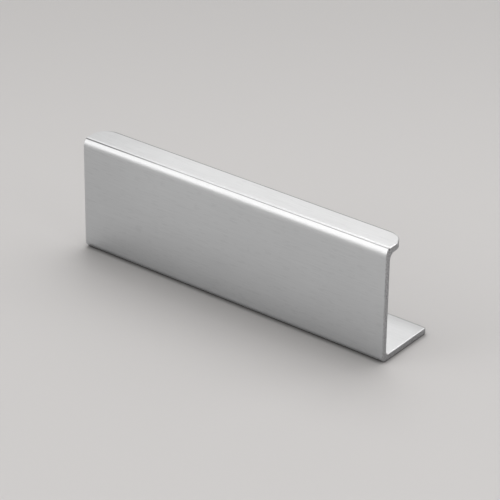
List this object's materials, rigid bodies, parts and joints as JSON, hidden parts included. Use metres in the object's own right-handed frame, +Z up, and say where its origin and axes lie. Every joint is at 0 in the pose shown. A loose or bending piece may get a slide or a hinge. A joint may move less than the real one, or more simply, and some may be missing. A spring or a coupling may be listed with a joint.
{
  "type": "aluminium extrusion profile",
  "caption": "Cut length of satin aluminium edge profile: upright web, short lip over the back with rounded corners, deeper flat foot.",
  "frame": {"origin": "on the floor under the middle of the piece's box, half way along its length and half way from the front face to the foot's back edge", "axes": "+X along the length, +Y from the front face towards the lip's and the foot's back edges, +Z up from the foot"},
  "size_m": [0.12, 0.0238, 0.04],
  "materials": {
    "satin_aluminium": "satin brushed and clear anodised, with fine lines along the length and plain sawn ends"
  },
  "bodies": {
    "root": {"edge_profile": "satin_aluminium"}
  },
  "joints": []
}
